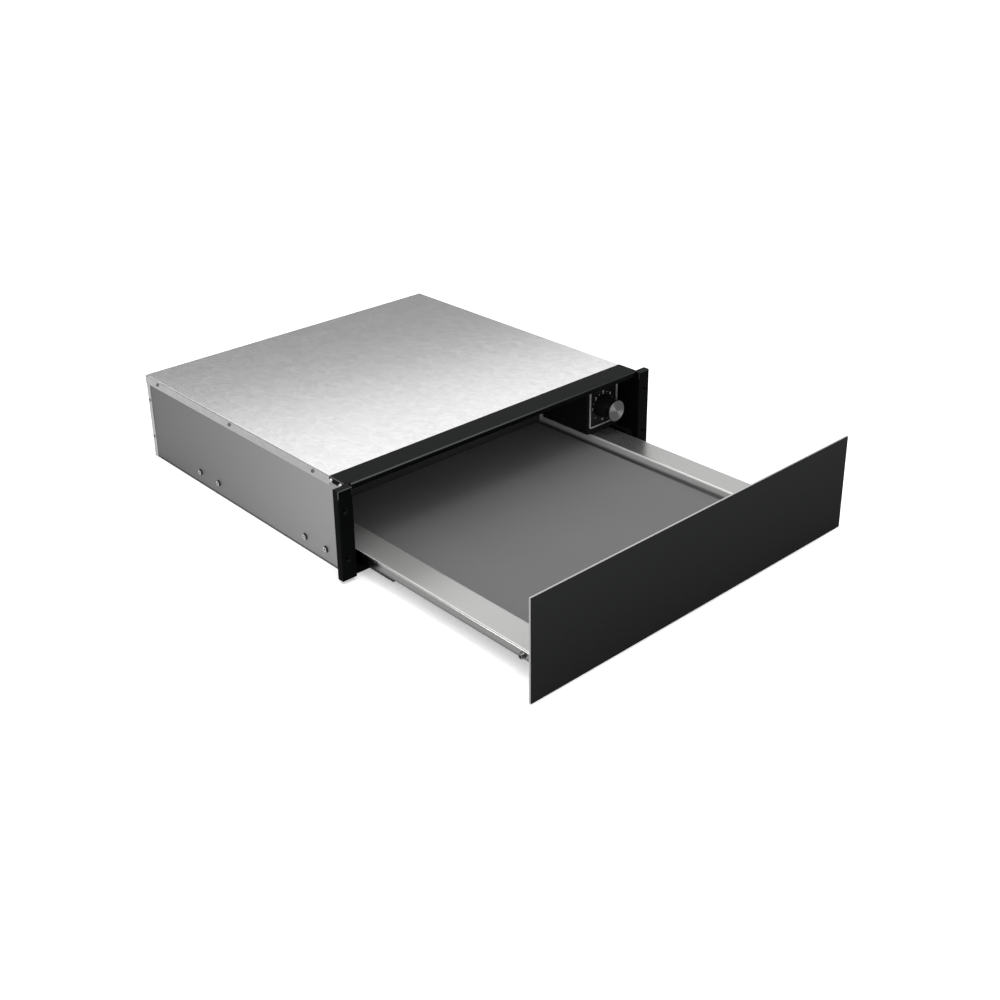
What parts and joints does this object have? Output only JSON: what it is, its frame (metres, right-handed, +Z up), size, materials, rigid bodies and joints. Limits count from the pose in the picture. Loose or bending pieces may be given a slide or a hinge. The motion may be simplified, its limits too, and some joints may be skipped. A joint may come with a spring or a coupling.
{
  "type": "warming drawer",
  "caption": "Built-in kitchen warming drawer: sheet-metal casing with a dark front frame, a handleless drawer on telescopic runners, a heat knob and a fan heater.",
  "frame": {"origin": "centre of the casing's underside", "axes": "+X to the right seen from the front, +Y to the back, +Z up; the drawer opens towards -Y"},
  "size_m": [0.594, 0.8846, 0.14],
  "materials": {
    "galvanised_sheet": "zinc-coated sheet with a fine spangle",
    "grey_side_sheet": "plain zinc-coated sheet",
    "black_frame": "satin black powder coat",
    "stainless": "brushed stainless steel",
    "front_plate": "satin edge",
    "front_skin": "matt black, easy-clean coating",
    "mat": "matt grey silicone",
    "runner_steel": "bright zinc plate",
    "dark_runner": "dark zinc plate",
    "black_plastic": "fine texture",
    "control_face": "smooth with printed marks",
    "knob_face": "spun brushed",
    "fastener_steel": "zinc plate",
    "heater_steel": "heat-tinted tube",
    "motor_paint": "grey lacquer",
    "fan_alloy": "pressed",
    "pale_plastic": "moulded",
    "wire_sleeve": "black sleeve"
  },
  "bodies": {
    "casing": {"base_plate": "galvanised_sheet", "left_side_panel": "grey_side_sheet", "right_side_panel": "grey_side_sheet", "top_cover": "galvanised_sheet", "rear_panel": "galvanised_sheet", "rear_baffle": "galvanised_sheet", "frame_top_rail": "black_frame", "left_frame_post": "black_frame", "right_frame_post": "black_frame", "left_frame_cheek": "black_frame", "right_frame_cheek": "black_frame", "frame_bottom_rail": "black_frame", "left_runner_bracket": "black_frame", "right_runner_bracket": "black_frame", "left_outer_rail": "runner_steel", "right_outer_rail": "runner_steel", "control_housing": "black_plastic", "control_plate": "control_face", "thermostat": "pale_plastic", "terminal_block": "pale_plastic", "cable_gland": "black_plastic", "fan_motor": "motor_paint", "fan_bracket": "runner_steel", "heater_element": "heater_steel", "thermal_cutout": "black_plastic", "latch_housing": "black_plastic", "latch_spring": "fastener_steel", "wiring_loom": "wire_sleeve", "loom_clips": "black_plastic", "cover_screws": "fastener_steel", "runner_screws": "fastener_steel", "frame_screws": "fastener_steel", "rear_rivets": "fastener_steel", "post_rivets": "fastener_steel"},
    "drawer": {"tray": "stainless", "anti_slip_mat": "mat", "front_panel": "front_plate", "front_skin": "front_skin", "front_inner_panel": "stainless", "left_inner_rail": "runner_steel", "right_inner_rail": "runner_steel", "left_front_bracket": "runner_steel", "right_front_bracket": "runner_steel", "front_bolts": "fastener_steel", "front_nuts": "fastener_steel", "catch_plate": "runner_steel"},
    "knob": {"knob_body": "black_plastic", "knob_cap": "knob_face", "control_spindle": "fastener_steel"},
    "fan_rotor": {"fan_impeller": "fan_alloy", "fan_shaft": "fastener_steel"},
    "latch_plunger": {"latch_plunger": "pale_plastic"},
    "left_middle_runner": {"left_middle_rail": "dark_runner"},
    "left_lower_balls": {"left_lower_ball_cage": "runner_steel"},
    "left_upper_balls": {"left_upper_ball_cage": "runner_steel"},
    "right_middle_runner": {"right_middle_rail": "dark_runner"},
    "right_lower_balls": {"right_lower_ball_cage": "runner_steel"},
    "right_upper_balls": {"right_upper_ball_cage": "runner_steel"}
  },
  "joints": [
    {"name": "drawer_slide", "type": "slide", "parent": "casing", "child": "drawer", "axis": [0, -1, 0], "range_m": [-0.345, 0.055]},
    {"name": "left_middle_slide", "type": "slide", "parent": "casing", "child": "left_middle_runner", "axis": [0, -1, 0], "range_m": [-0.1725, 0.0275]},
    {"name": "left_lower_balls_roll", "type": "slide", "parent": "casing", "child": "left_lower_balls", "axis": [0, -1, 0], "range_m": [-0.08625, 0.01375]},
    {"name": "left_upper_balls_roll", "type": "slide", "parent": "left_middle_runner", "child": "left_upper_balls", "axis": [0, -1, 0], "range_m": [-0.08625, 0.01375]},
    {"name": "right_middle_slide", "type": "slide", "parent": "casing", "child": "right_middle_runner", "axis": [0, -1, 0], "range_m": [-0.1725, 0.0275]},
    {"name": "right_lower_balls_roll", "type": "slide", "parent": "casing", "child": "right_lower_balls", "axis": [0, -1, 0], "range_m": [-0.08625, 0.01375]},
    {"name": "right_upper_balls_roll", "type": "slide", "parent": "right_middle_runner", "child": "right_upper_balls", "axis": [0, -1, 0], "range_m": [-0.08625, 0.01375]},
    {"name": "knob_turn", "type": "hinge", "parent": "casing", "child": "knob", "pos_m": [0.238, -0.2288, 0.08], "axis": [0, 1, 0], "range_deg": [0, 270]},
    {"name": "fan_spin", "type": "hinge", "parent": "casing", "child": "fan_rotor", "pos_m": [0, 0.2188, 0.0891], "axis": [0, 1, 0], "continuous": true},
    {"name": "latch_push", "type": "slide", "parent": "casing", "child": "latch_plunger", "axis": [0, 1, 0], "range_m": [0, 0.0035], "stiffness_N_per_m": 300, "springref_m": -0.004, "deforming": ["latch_spring"]}
  ],
  "couplings": [
    {"joint": "left_middle_slide", "follows": "drawer_slide", "ratio": 0.5},
    {"joint": "left_lower_balls_roll", "follows": "drawer_slide", "ratio": 0.25},
    {"joint": "left_upper_balls_roll", "follows": "drawer_slide", "ratio": 0.25},
    {"joint": "right_middle_slide", "follows": "drawer_slide", "ratio": 0.5},
    {"joint": "right_lower_balls_roll", "follows": "drawer_slide", "ratio": 0.25},
    {"joint": "right_upper_balls_roll", "follows": "drawer_slide", "ratio": 0.25}
  ]
}
